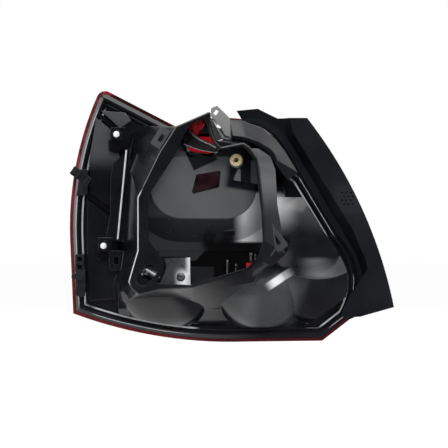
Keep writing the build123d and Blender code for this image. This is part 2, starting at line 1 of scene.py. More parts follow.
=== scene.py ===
import math
import bpy
from mathutils import Euler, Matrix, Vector


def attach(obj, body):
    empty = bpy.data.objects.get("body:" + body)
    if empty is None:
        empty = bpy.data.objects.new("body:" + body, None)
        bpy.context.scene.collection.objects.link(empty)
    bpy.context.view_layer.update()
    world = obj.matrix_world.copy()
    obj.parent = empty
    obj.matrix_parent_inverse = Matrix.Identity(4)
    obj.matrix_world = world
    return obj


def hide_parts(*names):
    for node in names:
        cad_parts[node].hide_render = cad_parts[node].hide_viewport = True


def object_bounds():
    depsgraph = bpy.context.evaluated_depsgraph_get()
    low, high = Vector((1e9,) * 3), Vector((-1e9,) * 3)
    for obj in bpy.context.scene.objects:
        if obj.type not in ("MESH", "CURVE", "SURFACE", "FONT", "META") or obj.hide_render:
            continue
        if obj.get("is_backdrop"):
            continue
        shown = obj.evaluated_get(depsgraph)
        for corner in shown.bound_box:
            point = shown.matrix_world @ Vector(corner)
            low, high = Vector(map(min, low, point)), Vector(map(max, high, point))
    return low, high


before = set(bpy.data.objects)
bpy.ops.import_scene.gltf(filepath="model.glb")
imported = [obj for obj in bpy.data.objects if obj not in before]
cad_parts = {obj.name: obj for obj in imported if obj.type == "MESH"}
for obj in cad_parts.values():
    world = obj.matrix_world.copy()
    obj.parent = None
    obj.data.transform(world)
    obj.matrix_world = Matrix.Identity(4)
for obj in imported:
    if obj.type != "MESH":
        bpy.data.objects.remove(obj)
cadLow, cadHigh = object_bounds()
mm = 0.001
print("frame:", len(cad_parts), "nodes")


def clearSelection():
    if bpy.context.mode != "OBJECT":
        bpy.ops.object.mode_set(mode="OBJECT")
    bpy.ops.object.select_all(action="DESELECT")


def workOn(piece):
    clearSelection()
    bpy.context.view_layer.objects.active = piece
    piece.select_set(True)


def findNode(tree, kind):
    return next(node for node in tree.nodes if node.type == kind)


# one Principled shader and its tree, ready to be wired
def startMaterial(name):
    material = bpy.data.materials.new(name)
    material.use_nodes = True
    tree = material.node_tree
    return material, tree, findNode(tree, "BSDF_PRINCIPLED")


def addNode(tree, kind, **sockets):
    node = tree.nodes.new(kind)
    for name, value in sockets.items():
        node.inputs[name].default_value = value
    return node


# a socket takes either a link or a plain value
def feed(tree, socket, source):
    if isinstance(source, bpy.types.NodeSocket):
        tree.links.new(source, socket)
    else:
        socket.default_value = source


def combine(tree, operation, first, second):
    node = tree.nodes.new("ShaderNodeMath")
    node.operation = operation
    for socket, source in zip(node.inputs, (first, second)):
        feed(tree, socket, source)
    return node.outputs["Value"]


def axes(tree, vector):
    node = tree.nodes.new("ShaderNodeSeparateXYZ")
    tree.links.new(vector, node.inputs["Vector"])
    return node.outputs


def place(tree):
    node = tree.nodes.get("place") or tree.nodes.new("ShaderNodeTexCoord")
    node.name = "place"
    return node.outputs["Object"]


# the way a face points, before any bump
def facing(tree):
    node = tree.nodes.new("ShaderNodeNewGeometry")
    return axes(tree, node.outputs["True Normal"])


def noise(tree, scale, detail=3.0, stretch=None):
    node = addNode(tree, "ShaderNodeTexNoise", Scale=scale, Detail=detail)
    point = place(tree)
    if stretch:
        turn = addNode(tree, "ShaderNodeMapping", Scale=stretch)
        tree.links.new(point, turn.inputs["Vector"])
        point = turn.outputs["Vector"]
    tree.links.new(point, node.inputs["Vector"])
    return node.outputs["Fac"]


def spread(tree, source, low, high, start=0.3, end=0.7, easing="LINEAR"):
    node = addNode(tree, "ShaderNodeMapRange")
    node.interpolation_type = easing
    node.inputs["From Min"].default_value = start
    node.inputs["From Max"].default_value = end
    node.inputs["To Min"].default_value = low
    node.inputs["To Max"].default_value = high
    tree.links.new(source, node.inputs["Value"])
    return node.outputs["Result"]


def blendColour(tree, factor, first, second):
    node = tree.nodes.new("ShaderNodeMix")
    node.data_type = "RGBA"
    tree.links.new(factor, node.inputs["Factor"])
    sockets = [socket for socket in node.inputs if socket.type == "RGBA"]
    for socket, source in zip(sockets, (first, second)):
        feed(tree, socket, source)
    return next(socket for socket in node.outputs if socket.type == "RGBA")


def blendValue(tree, factor, first, second):
    node = tree.nodes.new("ShaderNodeMix")
    tree.links.new(factor, node.inputs["Factor"])
    feed(tree, node.inputs["A"], first)
    feed(tree, node.inputs["B"], second)
    return node.outputs["Result"]


def blendShader(tree, factor, first, second):
    node = tree.nodes.new("ShaderNodeMixShader")
    for socket, source in zip(node.inputs, (factor, first, second)):
        tree.links.new(source, socket)
    return node.outputs["Shader"]


def glow(tree, strength):
    node = addNode(tree, "ShaderNodeEmission", Color=(1, 1, 1, 1), Strength=strength)
    return node.outputs["Emission"]


def bump(tree, height, depth, under=None):
    node = addNode(tree, "ShaderNodeBump", Strength=1.0, Distance=depth)
    tree.links.new(height, node.inputs["Height"])
    if under:
        tree.links.new(under, node.inputs["Normal"])
    return node.outputs["Normal"]


def softEdge(tree, radius):
    node = addNode(tree, "ShaderNodeBevel", Radius=radius)
    node.samples = 4
    return node.outputs["Normal"]


# two tones in soft clouds
def clouded(tree, look, detail):
    cloud = spread(tree, noise(tree, look["cloudScale"], detail), 0.0, 1.0)
    return blendColour(tree, cloud, *look["tones"])


def unevenGloss(tree, look, detail, stretch=None):
    cloud = noise(tree, look["glossScale"], detail, stretch)
    return spread(tree, cloud, look["smooth"], look["rough"])


# how far a point is inside a box with soft sides, from 0 to 1
# a box may be turned about Y, and its two sides along an axis may differ in softness
def insideBox(tree, patch):
    point = place(tree)
    if "turn" in patch:
        turn = Euler((0, math.radians(patch["turn"]), 0))
        centre = (Vector(patch["low"]) + Vector(patch["high"])) / 2 * mm
        aside = centre - turn.to_matrix() @ centre
        turned = addNode(tree, "ShaderNodeMapping", Rotation=turn, Location=aside)
        tree.links.new(point, turned.inputs["Vector"])
        point = turned.outputs["Vector"]
    spot = axes(tree, point)
    total = None
    for axis, start, end, soft in zip("XYZ", patch["low"], patch["high"], patch["soft"]):
        rise, fall = soft if isinstance(soft, tuple) else (soft, soft)
        for first, second in ((start, start + rise), (end, end - fall)):
            side = spread(tree, spot[axis], 0.0, 1.0, first * mm, second * mm, "SMOOTHSTEP")
            total = combine(tree, "MULTIPLY", total, side) if total else side
    return total


# painted light and shade: areas of another tone, each in its box of millimetres, the later over the
# earlier
def overlay(tree, colour, look):
    for patch in look.get("patches", {}).values():
        colour = blendColour(tree, insideBox(tree, patch), colour, patch["tone"])
    return colour


# moulded plastic: two tones, uneven gloss, fine grain and rounded edges
def mouldedPlastic(name, look):
    material, tree, shader = startMaterial(name)
    colour = overlay(tree, clouded(tree, look, detail=4.0), look)
    tree.links.new(colour, shader.inputs["Base Color"])
    tree.links.new(unevenGloss(tree, look, detail=5.0), shader.inputs["Roughness"])
    edge = softEdge(tree, look["edge"])
    wave = bump(tree, noise(tree, look["waveScale"], detail=1.0), look["waveDepth"], edge)
    grain = bump(tree, noise(tree, look["grainScale"], detail=2.0), look["grainDepth"], wave)
    tree.links.new(grain, shader.inputs["Normal"])
    shader.inputs["IOR"].default_value = look.get("index", 1.5)
    return material


# painted highlights and paler lit facets and edges on the housing
housingHighlights = {
    "wing": {"low": (-152, 35.5, -12), "high": (-104, 40, 80), "soft": (3, 0.5, 24),
             "tone": (0.043, 0.045, 0.049, 1)},
    "ear": {"low": (-32, -14, 16), "high": (-4, -3, 60), "soft": (3, 0.5, 6),
            "tone": (0.150, 0.152, 0.150, 1)},
    "shoulder": {"low": (16, -28, -59), "high": (54, -11, 16), "soft": (2, 2, 40),
                 "tone": (0.072, 0.075, 0.077, 1)},
    # painted light on the pad beside the boss and on the boss round the insert
    "padLeft": {"low": (-6, 9.0, -28), "high": (5, 10.8, 4), "soft": (0.5, 0.4, 0.5),
                "tone": (0.085, 0.088, 0.090, 1)},
    "padRight": {"low": (14, 9.0, -28), "high": (26, 10.8, 4), "soft": (2, 0.4, 0.5),
                 "tone": (0.050, 0.053, 0.056, 1)},
    "boss": {"low": (-9, -3.5, -9), "high": (9, 3.5, 9), "soft": (0.5, 0.5, 0.5),
             "tone": (0.090, 0.094, 0.097, 1)},
    "flangeLeft": {"low": (-113, -29.9, -126), "high": (-88, -28.6, -28), "soft": (1, 0.1, 8),
                   "tone": (0.44, 0.45, 0.46, 1)},
    "rightFacet": {"low": (58, -14, -119), "high": (104, 30, -96), "soft": (24, 4, 5),
                   "tone": (0.085, 0.087, 0.090, 1)},
    "flangeUpper": {"low": (-96, -29.6, -29), "high": (-58, -28.6, 36), "soft": (1, 0.1, 3),
                    "tone": (0.110, 0.113, 0.116, 1)},
    "tabUpper": {"low": (-87, -20.6, 6), "high": (-61, -19.4, 38), "soft": (0.5, 0.2, 0.5),
                 "tone": (0.045, 0.047, 0.050, 1)},
    "tabRight": {"low": (28, -20.6, -96), "high": (52, -19.4, -64), "soft": (0.5, 0.2, 0.5),
                 "tone": (0.030, 0.032, 0.035, 1)},
    # painted highlights on the side dome, the lower dome and the facet in the gap
    "domeSide": {"low": (22, -10, -80), "high": (66, 40, -30), "soft": ((3, 40), 1, (44, 8)),
                 "tone": (0.72, 0.73, 0.74, 1)},
    "domeLower": {"low": (-14, -10, -173), "high": (66, 50, -102), "soft": ((34, 16), 1, (8, 30)),
                  "tone": (0.034, 0.036, 0.039, 1)},
    "gapFacet": {"low": (26, -10, -123.5), "high": (62, 14, -114), "soft": ((12, 22), 1, 1.8),
                 "turn": 33, "tone": (0.56, 0.57, 0.58, 1)},
    # painted thin highlight lines along the ridge tops
    "ridgeLowerLeft": {"low": (-150, 41.3, -178), "high": (-36, 41.8, -140), "soft": (10, 0.1, 4),
                       "tone": (0.30, 0.31, 0.32, 1)},
    "ridgeLeft": {"low": (-168, 41.3, -150), "high": (-128, 41.8, 55), "soft": (2, 0.1, 6),
                  "tone": (0.24, 0.25, 0.26, 1)},
    "ridgeLowerRight": {"low": (70, 41.3, -172), "high": (136, 41.8, -114), "soft": (6, 0.1, 6),
                        "tone": (0.34, 0.35, 0.36, 1)},
    "ridgeUpperRight": {"low": (46, 41.3, -78), "high": (112, 41.8, 22), "soft": (6, 0.1, 6),
                        "tone": (0.26, 0.27, 0.28, 1)},
}
# painted highlight along the crest of the slanted rib, in short steps
ribHighlight = {"top": (-111.2, 12.0), "foot": (-120.2, -80.0), "depth": (26.8, 28.0),
            "half": 1.9, "steps": 8, "soft": (0.2, 0.2, 0.01), "tone": (0.44, 0.45, 0.46, 1)}


def ribHighlightPatches(crest):
    run, drop = ((foot - top) / crest["steps"] for foot, top in zip(crest["foot"], crest["top"]))
    near, far = crest["depth"]
    for step in range(crest["steps"]):
        middle = crest["top"][0] + (step + 0.5) * run
        upper = crest["top"][1] + step * drop
        yield "rib%d" % step, {"low": (middle - crest["half"], near, upper + drop),
                               "high": (middle + crest["half"], far, upper),
                               "soft": crest["soft"], "tone": crest["tone"]}


housingLook = {
    "tones": ((0.0022, 0.0026, 0.0036, 1), (0.0060, 0.0064, 0.0078, 1)), "cloudScale": 28.0,
    "smooth": 0.13, "rough": 0.24, "glossScale": 60.0, "edge": 0.9 * mm,
    "waveScale": 55.0, "waveDepth": 0.10 * mm, "grainScale": 1400.0, "grainDepth": 0.006 * mm,
    "patches": {**housingHighlights, **dict(ribHighlightPatches(ribHighlight))},
}
finLook = {
    "tones": ((0.0042, 0.0048, 0.0066, 1), (0.0080, 0.0090, 0.0116, 1)), "cloudScale": 24.0,
    "smooth": 0.30, "rough": 0.42, "glossScale": 90.0, "edge": 0.8 * mm, "index": 1.32,
    "waveScale": 40.0, "waveDepth": 0.05 * mm, "grainScale": 1900.0, "grainDepth": 0.03 * mm,
    "patches": {
        # a painted paler sheen round the dimples, then painted shade on the dimple floors
        "sheenRoundDimples": {"low": (96, 20, -58), "high": (132, 40, -20), "soft": (8, 1, 8),
                         "tone": (0.0125, 0.0135, 0.0155, 1)},
        "dimpleShade": {"low": (104, 28.15, -48), "high": (124, 30, -28), "soft": (0.2, 0.2, 0.2),
                    "tone": (0.0004, 0.0004, 0.0006, 1)},
    },
}
clipLook = {
    "tones": ((0.0060, 0.0063, 0.0070, 1), (0.0120, 0.0125, 0.0140, 1)), "cloudScale": 80.0,
    "smooth": 0.28, "rough": 0.42, "glossScale": 160.0, "edge": 0.4 * mm,
    "waveScale": 90.0, "waveDepth": 0.03 * mm, "grainScale": 2400.0, "grainDepth": 0.02 * mm,
}
bezelLook = {
    "tones": ((0.0020, 0.0020, 0.0024, 1), (0.0040, 0.0040, 0.0046, 1)), "cloudScale": 40.0,
    "smooth": 0.22, "rough": 0.34, "glossScale": 120.0, "edge": 0.4 * mm, "index": 1.30,
    "waveScale": 60.0, "waveDepth": 0.04 * mm, "grainScale": 2200.0, "grainDepth": 0.025 * mm,
}
sealLook = {
    "tones": ((0.010, 0.010, 0.011, 1), (0.022, 0.022, 0.023, 1)), "cloudScale": 150.0,
    "smooth": 0.45, "rough": 0.65, "glossScale": 260.0, "edge": 0.5 * mm,
    "waveScale": 160.0, "waveDepth": 0.25 * mm, "grainScale": 1800.0, "grainDepth": 0.03 * mm,
}
# dark matte finish of the pads that stand in for shadow
shadowPadLook = {
    "tones": ((0.0008, 0.0009, 0.0014, 1), (0.0022, 0.0023, 0.0032, 1)), "cloudScale": 200.0,
    "smooth": 0.60, "rough": 0.85, "glossScale": 300.0, "edge": 0.5 * mm, "index": 1.18,
    "waveScale": 400.0, "waveDepth": 0.1 * mm, "grainScale": 2600.0, "grainDepth": 0.05 * mm,
}
# dark red tint that stands in for shade in the reflector's window
windowShadeLook = {
    "tones": ((0.0030, 0.0018, 0.0022, 1), (0.026, 0.006, 0.010, 1)), "cloudScale": 130.0,
    "smooth": 0.10, "rough": 0.22, "glossScale": 90.0, "edge": 0.4 * mm,
    "waveScale": 160.0, "waveDepth": 0.3 * mm, "grainScale": 1500.0, "grainDepth": 0.01 * mm,
    "patches": {
        # painted shade over the right half of the plate
        "shadedHalf": {"low": (-28, 20, -50), "high": (0, 34, 6), "soft": (4, 1, 1),
                     "tone": (0.0012, 0.0010, 0.0014, 1)},
    },
}


# dark peg with a pale tip
def tippedPeg(name, look):
    material, tree, shader = startMaterial(name)
    ragged = noise(tree, look["tipScale"])
    wander = spread(tree, ragged, -look["tipWander"], look["tipWander"])
    depth = combine(tree, "ADD", axes(tree, place(tree))["Y"], wander)
    start, end = look["tipFrom"] - look["tipSoft"], look["tipFrom"] + look["tipSoft"]
    tip = spread(tree, depth, 1.0, 0.0, start, end)
    tree.links.new(blendColour(tree, tip, *look["tones"]), shader.inputs["Base Color"])
    tree.links.new(unevenGloss(tree, look, detail=5.0), shader.inputs["Roughness"])
    edge = softEdge(tree, look["edge"])
    grain = bump(tree, noise(tree, look["grainScale"], detail=2.0), look["grainDepth"], edge)
    tree.links.new(grain, shader.inputs["Normal"])
    return material


pegLook = {
    "tones": ((0.008, 0.008, 0.009, 1), (0.62, 0.63, 0.63, 1)),
    "tipFrom": 12.7 * mm, "tipSoft": 0.1 * mm, "tipWander": 0.2 * mm, "tipScale": 300.0,
    "smooth": 0.16, "rough": 0.30, "glossScale": 220.0, "edge": 0.4 * mm,
    "grainScale": 2600.0, "grainDepth": 0.006 * mm,
}


# metallised mouldings: bright where they face the lens, bare plastic on the back
def metallised(name, look):
    material, tree, shader = startMaterial(name)
    front = spread(tree, facing(tree)["Y"], 0.0, 1.0, *look["frontFrom"])
    back = overlay(tree, clouded(tree, look, detail=4.0), look)
    tree.links.new(blendColour(tree, front, back, look["bright"]), shader.inputs["Base Color"])
    tree.links.new(front, shader.inputs["Metallic"])
    gloss = blendValue(tree, front, unevenGloss(tree, look, detail=5.0), look["brightRough"])
    tree.links.new(gloss, shader.inputs["Roughness"])
    edge = softEdge(tree, look["edge"])
    wave = bump(tree, noise(tree, look["waveScale"], detail=1.0), look["waveDepth"], edge)
    tree.links.new(wave, shader.inputs["Normal"])
    return material


reflectorLook = {
    "tones": ((0.062, 0.066, 0.069, 1), (0.080, 0.084, 0.086, 1)), "cloudScale": 22.0,
    "bright": (0.80, 0.81, 0.83, 1), "brightRough": 0.10, "frontFrom": (0.02, 0.12),
    "smooth": 0.18, "rough": 0.28, "glossScale": 70.0, "edge": 0.6 * mm,
    "waveScale": 45.0, "waveDepth": 0.06 * mm,
    "patches": {
        # painted shade on the lower wall
        "lowerWallShade": {"low": (-112, 16.5, -120), "high": (12, 52, -54), "soft": (8, 1, 6),
                      "tone": (0.030, 0.032, 0.035, 1)},
        # painted highlight on the right wall
        "rightWallHighlight": {"low": (-4, 16.2, -94), "high": (60, 52, -18), "soft": (14, 1, 8),
                      "tone": (0.74, 0.75, 0.76, 1)},
        # painted shade low on the right, where the opening is dark
        "lowerRightShade": {"low": (-36, 40, -104), "high": (60, 52, -81), "soft": (10, 1, 3),
                       "tone": (0.002, 0.002, 0.003, 1)},
        # painted shadow beside and below the boss
        "bossShadow": {"low": (-13, 10, -33.5), "high": (46, 40, -2), "soft": (8, 1, 4.5),
                     "turn": -10, "tone": (0.004, 0.005, 0.008, 1)},
        # painted shade in the recess beside the bulb hole
        "holeSideShade": {"low": (-48.8, 10, -6.2), "high": (-18.8, 24, 14.8),
                     "soft": ((2, 5), 1, (2, 1)), "turn": 25, "tone": (0.006, 0.007, 0.009, 1)},
        # painted shade on the hook lips
        "hookShade": {"low": (-36, 24, -86), "high": (4, 30, -71), "soft": (0.2, 0.5, 0.4),
                  "tone": (0.003, 0.003, 0.004, 1)},
    },
}
chromeLook = {
    "tones": ((0.012, 0.013, 0.015, 1), (0.022, 0.023, 0.026, 1)), "cloudScale": 30.0,
    "bright": (0.82, 0.83, 0.85, 1), "brightRough": 0.08, "frontFrom": (0.02, 0.12),
    "smooth": 0.20, "rough": 0.34, "glossScale": 90.0, "edge": 0.5 * mm,
    "waveScale": 45.0, "waveDepth": 0.06 * mm,
}


# clear mouldings: polished outside, fluted on the inner face
def fluted(name, look):
    material, tree, shader = startMaterial(name)
    tint = clouded(tree, look, detail=3.0)
    # painted shade: a dull dark tint towards the rim
    if "rim" in look:
        rim = spread(tree, axes(tree, place(tree))["Y"], 1.0, 0.0, *look["rimFrom"])
        tint = blendColour(tree, rim, tint, look["rim"])
    tree.links.new(overlay(tree, tint, look), shader.inputs["Base Color"])
    tree.links.new(unevenGloss(tree, look, detail=4.0), shader.inputs["Roughness"])
    shader.inputs["Transmission Weight"].default_value = look["clear"]
    shader.inputs["IOR"].default_value = look["index"]
    rib = addNode(tree, "ShaderNodeTexWave", Scale=look["ribScale"])
    rib.wave_type = "BANDS"
    rib.bands_direction = "X"
    rib.wave_profile = "SIN"
    tree.links.new(place(tree), rib.inputs["Vector"])
    inner = spread(tree, facing(tree)["Y"], 1.0, 0.0, *look["innerFrom"])
    height = combine(tree, "MULTIPLY", rib.outputs["Fac"], inner)
    edge = softEdge(tree, look["edge"])
    tree.links.new(bump(tree, height, look["ribDepth"], edge), shader.inputs["Normal"])
    return material


redLook = {
    "tones": ((0.36, 0.005, 0.011, 1), (0.44, 0.008, 0.015, 1)), "cloudScale": 18.0,
    "rim": (0.075, 0.022, 0.025, 1), "rimFrom": (50.0 * mm, 58.0 * mm),
    "smooth": 0.03, "rough": 0.08, "glossScale": 120.0, "edge": 0.6 * mm,
    "clear": 0.82, "index": 1.49,
    "ribScale": 52.0, "ribDepth": 0.5 * mm, "innerFrom": (-0.5, -0.3),
    "patches": {
        # painted shade on the upper and lower rim, and a painted paler sheen on the left rim
        "rimUpper": {"low": (-129, 20, 30), "high": (-40, 50, 84), "soft": (5, (1, 4), 1),
                     "tone": (0.008, 0.006, 0.007, 1)},
        "rimLower": {"low": (-80, 20, -230), "high": (150, 50, -140), "soft": ((70, 1), (1, 4), 1),
                     "tone": (0.020, 0.007, 0.009, 1)},
        "rimLeft": {"low": (-190, 20, -60), "high": (-128, 50, 84), "soft": (1, (1, 4), (60, 1)),
                    "tone": (0.30, 0.060, 0.070, 1)},
    },
}
clearLook = {
    "tones": ((0.90, 0.92, 0.93, 1), (0.95, 0.96, 0.97, 1)), "cloudScale": 30.0,
    "smooth": 0.02, "rough": 0.06, "glossScale": 120.0, "edge": 0.6 * mm,
    "clear": 0.94, "index": 1.49,
    "ribScale": 70.0, "ribDepth": 0.5 * mm, "innerFrom": (-0.5, -0.3),
}


# cube-corner field of the reflex reflector
def prismField(name, look):
    material, tree, shader = startMaterial(name)
    cell = addNode(tree, "ShaderNodeTexVoronoi", Scale=look["cellScale"], Randomness=0.0)
    cell.distance = "MANHATTAN"
    tree.links.new(place(tree), cell.inputs["Vector"])
    tone = spread(tree, cell.outputs["Distance"], 0.0, 1.0, *look["toneFrom"])
    tree.links.new(blendColour(tree, tone, *look["tones"]), shader.inputs["Base Color"])
    tree.links.new(unevenGloss(tree, look, detail=3.0), shader.inputs["Roughness"])
    facets = bump(tree, cell.outputs["Distance"], look["cellDepth"])
    tree.links.new(facets, shader.inputs["Normal"])
    shader.inputs["Coat Weight"].default_value = look["coat"]
    return material


prismLook = {
    "tones": ((0.36, 0.004, 0.010, 1), (0.62, 0.02, 0.03, 1)), "toneFrom": (0.1, 0.8),
    "cellScale": 420.0, "cellDepth": 0.8 * mm, "coat": 0.6,
    "smooth": 0.05, "rough": 0.12, "glossScale": 200.0,
}


# turned or plated metal
def metal(name, look):
    material, tree, shader = startMaterial(name)
    colour = overlay(tree, clouded(tree, look, detail=5.0), look)
    tree.links.new(colour, shader.inputs["Base Color"])
    shader.inputs["Metallic"].default_value = look.get("metal", 1.0)
    brush = look.get("brush")
    gloss = unevenGloss(tree, look, detail=6.0, stretch=brush)
    tree.links.new(gloss, shader.inputs["Roughness"])
    edge = softEdge(tree, look["edge"])
    line = noise(tree, look["lineScale"], detail=3.0, stretch=brush)
    tree.links.new(bump(tree, line, look["lineDepth"], edge), shader.inputs["Normal"])
    return material


brassLook = {
    "tones": ((0.86, 0.74, 0.46, 1), (0.70, 0.56, 0.30, 1)), "cloudScale": 300.0, "metal": 0.45,
    "smooth": 0.20, "rough": 0.36, "glossScale": 500.0, "edge": 0.3 * mm,
    "brush": (1, 6, 1), "lineScale": 900.0, "lineDepth": 0.02 * mm,
}
steelLook = {
    "tones": ((0.66, 0.67, 0.68, 1), (0.52, 0.53, 0.53, 1)), "cloudScale": 400.0,
    "smooth": 0.22, "rough": 0.40, "glossScale": 600.0, "edge": 0.3 * mm,
    "lineScale": 1200.0, "lineDepth": 0.02 * mm,
}
platedLook = {
    "tones": ((0.72, 0.73, 0.74, 1), (0.60, 0.61, 0.62, 1)), "cloudScale": 90.0,
    "smooth": 0.20, "rough": 0.34, "glossScale": 160.0, "edge": 0.3 * mm,
    "lineScale": 60.0, "lineDepth": 0.04 * mm,
}
# grey cover, with a painted white highlight round the screw and along its right edge
coverLook = {
    "tones": ((0.036, 0.039, 0.041, 1), (0.060, 0.063, 0.065, 1)), "cloudScale": 60.0, "metal": 0.2,
    "smooth": 0.22, "rough": 0.34, "glossScale": 160.0, "edge": 0.3 * mm,
    "lineScale": 60.0, "lineDepth": 0.04 * mm,
    "patches": {
        "screwHighlight": {"low": (-63, -7, -140), "high": (-30, -4, -106), "soft": (10, 0.1, 12),
                       "tone": (0.94, 0.95, 0.96, 1)},
        "rightEdgeHighlight": {"low": (-52, -7, -128), "high": (-30, -4, -90), "soft": (6, 0.1, 1),
                      "tone": (0.60, 0.61, 0.62, 1)},
    },
}

finish = {
    "housing_plastic": mouldedPlastic("housingPlastic", housingLook),
    "fin_plastic": mouldedPlastic("finPlastic", finLook),
    "clip_plastic": mouldedPlastic("clipPlastic", clipLook),
    "bezel_plastic": mouldedPlastic("bezelPlastic", bezelLook),
    "peg_plastic": tippedPeg("pegPlastic", pegLook),
    "sealant": mouldedPlastic("sealantBead", sealLook),
    "reflector_plastic": metallised("reflectorBack", reflectorLook),
    "reflector_chrome": metallised("reflectorBright", chromeLook),
    "red_acrylic": fluted("redAcrylic", redLook),
    "clear_acrylic": fluted("clearAcrylic", clearLook),
    "reflex": prismField("reflexPrisms", prismLook),
    "shadowPad": mouldedPlastic("shadowPadDark", shadowPadLook),
    "windowShade": mouldedPlastic("windowShadeRed", windowShadeLook),
    "bright": metal("platedBright", platedLook),
    "cover": metal("coverPlate", coverLook),
    "insert_brass": metal("insertBrass", brassLook),
    "screw_steel": metal("screwSteel", steelLook),
}
print("finishes:", len(finish))


# a welded, smoothed copy stands for a node
def fairCopy(node, material, angle, weld=0.002 * mm):
    piece = bpy.data.objects.new(node + "_skin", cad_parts[node].data.copy())
    bpy.context.scene.collection.objects.link(piece)
    workOn(piece)
    if piece.data.has_custom_normals:
        bpy.ops.mesh.customdata_custom_splitnormals_clear()
    bpy.ops.object.mode_set(mode="EDIT")
    bpy.ops.mesh.select_all(action="SELECT")
    bpy.ops.mesh.remove_doubles(threshold=weld)
    bpy.ops.object.mode_set(mode="OBJECT")
    bpy.ops.object.shade_smooth_by_angle(angle=math.radians(angle))
    weigh = piece.modifiers.new("weigh", "WEIGHTED_NORMAL")
    weigh.keep_sharp = True
    bpy.ops.object.modifier_apply(modifier="weigh")
    piece.data.materials.clear()
    piece.data.materials.append(material)
    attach(piece, "root")
    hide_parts(node)


# slot, finish and the angle below which edges are smoothed
skins = {
    "housing": ("housing_plastic", "housing_plastic", 24),
    "side_fin": ("fin_plastic", "fin_plastic", 24),
    "red_lens": ("red_acrylic", "red_acrylic", 30),
    "clear_lens_window": ("clear_acrylic", "clear_acrylic", 30),
    "lens_sealant": ("sealant", "sealant", 40),
    "main_reflector": ("reflector_plastic", "reflector_plastic", 30),
    "turn_reflector": ("reflector_chrome", "reflector_chrome", 40),
    "reverse_reflector": ("reflector_chrome", "reflector_chrome", 40),
    "side_reflector": ("reflector_chrome", "reflector_chrome", 40),
    "inner_bezel": ("bezel_plastic", "bezel_plastic", 30),
    "main_trim_ring": ("reflector_chrome", "reflector_chrome", 30),
    "reflex_reflector": ("red_acrylic", "reflex", 30),
    "threaded_insert": ("insert_brass", "insert_brass", 40),
    "upper_locating_peg": ("peg_plastic", "peg_plastic", 50),
    "lower_locating_peg": ("peg_plastic", "peg_plastic", 50),
    "reflector_screw": ("screw_steel", "screw_steel", 35),
    "upper_edge_clip": ("clip_plastic", "clip_plastic", 30),
    "lower_edge_clip": ("clip_plastic", "clip_plastic", 30),
}
for nodeName, (slotName, finishName, smoothAngle) in skins.items():
    fairCopy(nodeName, finish[finishName], smoothAngle)
print("skins:", len(skins))


# pieces keep their place in the mesh and their origin in the middle of the frame
def settle(piece, name, material, angle=35):
    piece.name = name
    workOn(piece)
    bpy.ops.object.transform_apply(location=True, rotation=True, scale=True)
    bpy.ops.object.shade_smooth_by_angle(angle=math.radians(angle))
    piece.data.materials.clear()
    piece.data.materials.append(material)
    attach(piece, "root")


def soften(piece, rounding):
    workOn(piece)
    soft = piece.modifiers.new("soft", "BEVEL")
    soft.width = rounding * mm
    soft.segments = 2
    bpy.ops.object.modifier_apply(modifier="soft")


def thicken(piece, thick, rounding):
    workOn(piece)
    skin = piece.modifiers.new("thick", "SOLIDIFY")
    skin.thickness = thick * mm
    skin.offset = 0.0
    bpy.ops.object.modifier_apply(modifier="thick")
    soften(piece, rounding)


# a grid pulled over rows of points
def sheet(rows):
    clearSelection()
    across, along = len(rows[0]) - 1, len(rows) - 1
    bpy.ops.mesh.primitive_grid_add(x_subdivisions=across, y_subdivisions=along, size=1)
    piece = bpy.context.object
    for vertex, point in zip(piece.data.vertices, [point for row in rows for point in row]):
        vertex.co = Vector(point) * mm
    return piece


# a flat plate with straight sides
def plate(plan):
    clearSelection()
    corners = plan["corners"]
    bpy.ops.mesh.primitive_circle_add(vertices=len(corners), fill_type="NGON", radius=1)
    piece = bpy.context.object
    for vertex, (x, z) in zip(piece.data.vertices, corners):
        vertex.co = Vector((x, plan["at"], z)) * mm
    thicken(piece, plan["thick"], plan["rounding"])
    return piece


def bar(low, high, rounding):
    clearSelection()
    middle = [(start + end) / 2 * mm for start, end in zip(low, high)]
    bpy.ops.mesh.primitive_cube_add(size=1, location=middle)
    piece = bpy.context.object
    piece.scale = [(end - start) * mm for start, end in zip(low, high)]
    bpy.ops.object.transform_apply(location=True, rotation=True, scale=True)
    soften(piece, rounding)
    return piece


# a round bead along a path of five points or more
def bead(points, radius):
    clearSelection()
    bpy.ops.curve.primitive_nurbs_path_add()
    piece = bpy.context.object
    line = piece.data.splines[0]
    line.points.add(len(points) - len(line.points))
    for spot, point in zip(line.points, points):
        spot.co = (*(Vector(point) * mm), 1)
    piece.data.bevel_depth = radius * mm
    piece.data.bevel_resolution = 3
    piece.data.use_fill_caps = True
    piece.data.resolution_u = 5
    bpy.ops.object.convert(target="MESH")
    return bpy.context.object


# dark shade below the upper bulb hole, with a bright lip along either edge
bulbShade = {
    "front": ((-46.6, 29.2), (-43.1, 25.2), (-38.0, 21.7), (-33.0, 19.2), (-28.0, 17.2),
              (-23.5, 15.1), (-19.5, 12.6)),
    "rear": ((-52.2, 16.4), (-47.2, 14.4), (-42.1, 12.4), (-36.1, 10.3), (-30.1, 9.3),
             (-24.1, 8.3), (-18.0, 8.3)),
    "frontAt": 2.0, "rearAt": 7.2, "sag": (0, 1.2, -0.6), "thick": 0.8, "rounding": 0.15,
    "frontLip": 1.3, "rearLip": 0.6, "angle": 60,
}
frontEdge = [(x, bulbShade["frontAt"], z) for x, z in bulbShade["front"]]
rearEdge = [(x, bulbShade["rearAt"], z) for x, z in bulbShade["rear"]]
middleEdge = [[(a + b) / 2 + sag for a, b, sag in zip(first, second, bulbShade["sag"])]
              for first, second in zip(frontEdge, rearEdge)]
shade = sheet((frontEdge, middleEdge, rearEdge))
thicken(shade, bulbShade["thick"], bulbShade["rounding"])
settle(shade, "bulbShade", finish["bezel_plastic"], bulbShade["angle"])
frontLip = bead(frontEdge, bulbShade["frontLip"])
